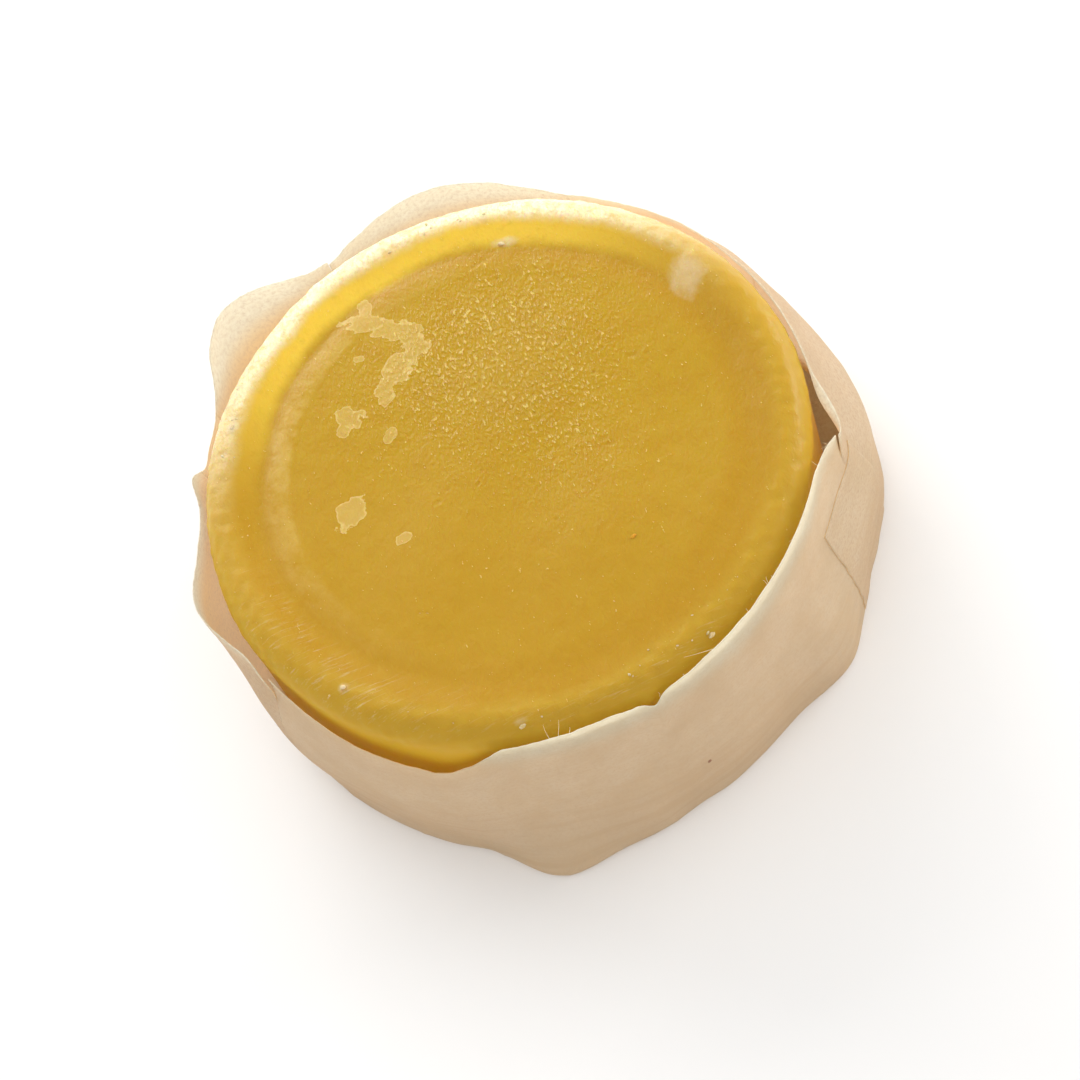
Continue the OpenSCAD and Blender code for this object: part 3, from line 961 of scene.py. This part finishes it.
class BuildLap(Operator):
    """Builds the end of the sheet that laps over the outside of the wall"""

    bl_idname = "soap_puck.build_lap"
    bl_label = "Lap"

    def execute(self, context):
        s = context.scene.wrapper_settings

        def surface(angle, along):
            return lap_surface(angle, along, s.rag / MM, s.creases / MM)

        lap = sheet_object("wrapper_lap_paper", surface, [LAP], 50, s.thickness / MM)
        dress(lap, paper_material("Lap_paper", s))
        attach(lap, "wrapper")
        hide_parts("wrapper_lap")
        return {"FINISHED"}


class BuildBase(Operator):
    """Builds the pleated layers under the soap: a closed disc whose underside is a fan of slanting steps"""

    bl_idname = "soap_puck.build_base"
    bl_label = "Pleated base"

    def execute(self, context):
        s = context.scene.wrapper_settings
        columns = 420
        angle = np.linspace(0, 360, columns, endpoint=False)[None, :]
        out = np.linspace(0.05, 1, 40)[:, None]
        edge = paper_radius(angle, 0.6) - CORNER - 0.4
        radius = out * edge
        # Place across each pleat from 0 to 1. The pleats slant by 24 degrees from the edge to the middle
        spiral = (angle + 24 * (1 - out)) * PLEATS / 360 % 1
        step = 0.24 * ease(spiral, 0.04, 0.12) * (1 - 0.8 * spiral) * ease(out, 0.04, 0.2)
        low = 0.03 + step + 0.2 * ease(radius, edge - 1.8, edge - 0.9)
        under = polar(radius, angle, low)
        level = 0.56 - 0.06 * (1 - np.abs(2 * spiral - 1))
        over = polar(radius, angle, np.maximum(level, low + 0.08))[::-1]
        vertices = np.concatenate([under, over]).reshape(-1, 3)
        vertices = np.concatenate([vertices, [[0, 0, 0.04], [0, 0, 0.55]]])
        rings = 2 * len(out)
        count = columns * rings
        faces = [ring_faces(columns, rings), fans(columns, rings, count, count + 1)]
        base = new_mesh("wrapper_base_paper", vertices, faces, [True, True], vertices[:, :2])
        dress(base, paper_material("Base_paper", s, 0.95))
        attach(base, "wrapper")
        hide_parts("wrapper_base")
        return {"FINISHED"}


class BuildFibres(Operator):
    """Builds the loose fibres along the torn edge, each a thin curved hair that starts in the paper"""

    bl_idname = "soap_puck.build_fibres"
    bl_label = "Loose fibres"

    def execute(self, context):
        s = context.scene.wrapper_settings
        rng = np.random.default_rng(61)
        n = s.fibre_count
        angle = np.concatenate([LONG_FIBRES, rng.uniform(243, 334, n)])
        reach = np.concatenate([rng.uniform(1.2, 2.2, len(LONG_FIBRES)), rng.uniform(0.2, 0.8, n)])
        lean = rng.normal(0, 0.8, len(angle))
        t = np.linspace(0, 1, 9)[None, :]
        top = torn_top(angle, s.rag / MM)[:, None]
        start = paper_radius(angle, top[:, 0])[:, None]
        inward = reach[:, None] * t
        radius = start - inward * 0.9
        swing = angle[:, None] + np.degrees(lean[:, None] * inward / PATTERN_R)
        swing = swing + 0.3 * t * np.sin(2 * t + 4 * lean[:, None])
        resting = soap_height(*np.moveaxis(polar(radius, swing, 0.0)[..., :2], -1, 0)) + 0.1
        free = top - 0.15 + 0.5 * inward * (1 - 0.5 * t)
        paths = polar(radius, swing, np.maximum(resting, free))
        vertices, quads, caps = tubes(paths, 0.026)
        fibres = new_mesh("torn_fibres", vertices, [quads, caps], [True, False])
        dress(fibres, fibre_material(s))
        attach(fibres, "wrapper")
        return {"FINISHED"}


def lamp(name, azimuth, elevation, distance, width, height, power, tint):
    """A rectangular soft light at a direction and distance from the soap, pointed at it."""
    light = bpy.data.lights.new(name, "AREA")
    light.shape, light.size, light.size_y = "RECTANGLE", width, height
    light.energy, light.color = power, tint
    obj = bpy.data.objects.new(name, light)
    a, e = math.radians(azimuth), math.radians(elevation)
    way = Vector((math.cos(a) * math.cos(e), math.sin(a) * math.cos(e), math.sin(e)))
    obj.location = way * distance + Vector((0, 0, 0.02))
    obj.rotation_euler = way.to_track_quat("Z", "Y").to_euler()
    bpy.context.scene.collection.objects.link(obj)


class BuildStage(Operator):
    """Builds the table top, the lights and the camera"""

    bl_idname = "soap_puck.build_stage"
    bl_label = "Stage"

    def execute(self, context):
        s = context.scene.stage_settings
        half, below = 1500.0, -0.02
        corners = np.array([(-half, -half, below), (half, -half, below),
                            (half, half, below), (-half, half, below)])
        table = new_mesh("Table", corners, [np.array([[0, 1, 2, 3]])], [False])
        table.data.materials.append(floor_material(s))
        world = bpy.data.worlds.new("Soft_light")
        world.use_nodes = True
        sky = world.node_tree.nodes["Background"]
        sky.inputs["Color"].default_value = (1, 1, 1, 1)
        sky.inputs["Strength"].default_value = s.sky
        context.scene.world = world
        powers = (s.key_power, s.window_power, s.side_power, s.fill_power)
        tints = (s.key_colour, s.key_colour, s.key_colour, s.fill_colour)
        for row, power, tint in zip(LAMPS, powers, tints):
            lamp(*row, power, tint)
        # The camera looks down at 60 degrees and is rolled by 25.2 degrees
        elevation, roll, distance = math.radians(60), math.radians(-25.2), 0.3
        back = Vector((0, -math.cos(elevation), math.sin(elevation)))
        right = Vector((1, 0, 0))
        up = back.cross(right)
        across = math.cos(roll) * right + math.sin(roll) * up
        upward = math.cos(roll) * up - math.sin(roll) * right
        camera = bpy.data.cameras.new("Camera")
        camera.sensor_width, camera.lens, camera.clip_start = 36.0, 89.1, 0.01
        view = bpy.data.objects.new("Camera", camera)
        target = Vector((0, 0, 0.025)) + 0.00404 * across - 0.00864 * upward
        rows = Matrix((across, upward, back)).transposed().to_4x4()
        view.matrix_world = Matrix.Translation(target + distance * back) @ rows
        context.scene.collection.objects.link(view)
        context.scene.camera = view
        context.scene.view_settings.view_transform = "Standard"
        return {"FINISHED"}


STEPS = (BuildStage, BuildSoap, BuildCrumbs, BuildWall, BuildFlaps, BuildLap, BuildBase, BuildFibres)
GROUPS = {
    "soap_settings": SoapSettings,
    "wrapper_settings": WrapperSettings,
    "stage_settings": StageSettings,
}


class SoapPuckPanel(Panel):
    """Buttons and settings of the soap puck"""

    bl_idname = "VIEW3D_PT_soap_puck"
    bl_label = "Shaving soap puck"
    bl_space_type = "VIEW_3D"
    bl_region_type = "UI"
    bl_category = "Soap puck"

    def draw(self, context):
        for step in STEPS:
            self.layout.operator(step.bl_idname)
        for key, group in GROUPS.items():
            box = self.layout.box()
            for name in group.__annotations__:
                box.prop(getattr(context.scene, key), name)


def register():
    for group in (*GROUPS.values(), *STEPS, SoapPuckPanel):
        bpy.utils.register_class(group)
    for key, group in GROUPS.items():
        setattr(bpy.types.Scene, key, PointerProperty(type=group))


def unregister():
    for key in GROUPS:
        delattr(bpy.types.Scene, key)
    for group in (SoapPuckPanel, *reversed(STEPS), *reversed(GROUPS.values())):
        bpy.utils.unregister_class(group)


def main():
    register()
    for step in STEPS:
        module, name = step.bl_idname.split(".")
        if getattr(getattr(bpy.ops, module), name)() != {"FINISHED"}:
            raise RuntimeError(f"{step.bl_label} wasn't built")


if __name__ == "__main__":
    main()
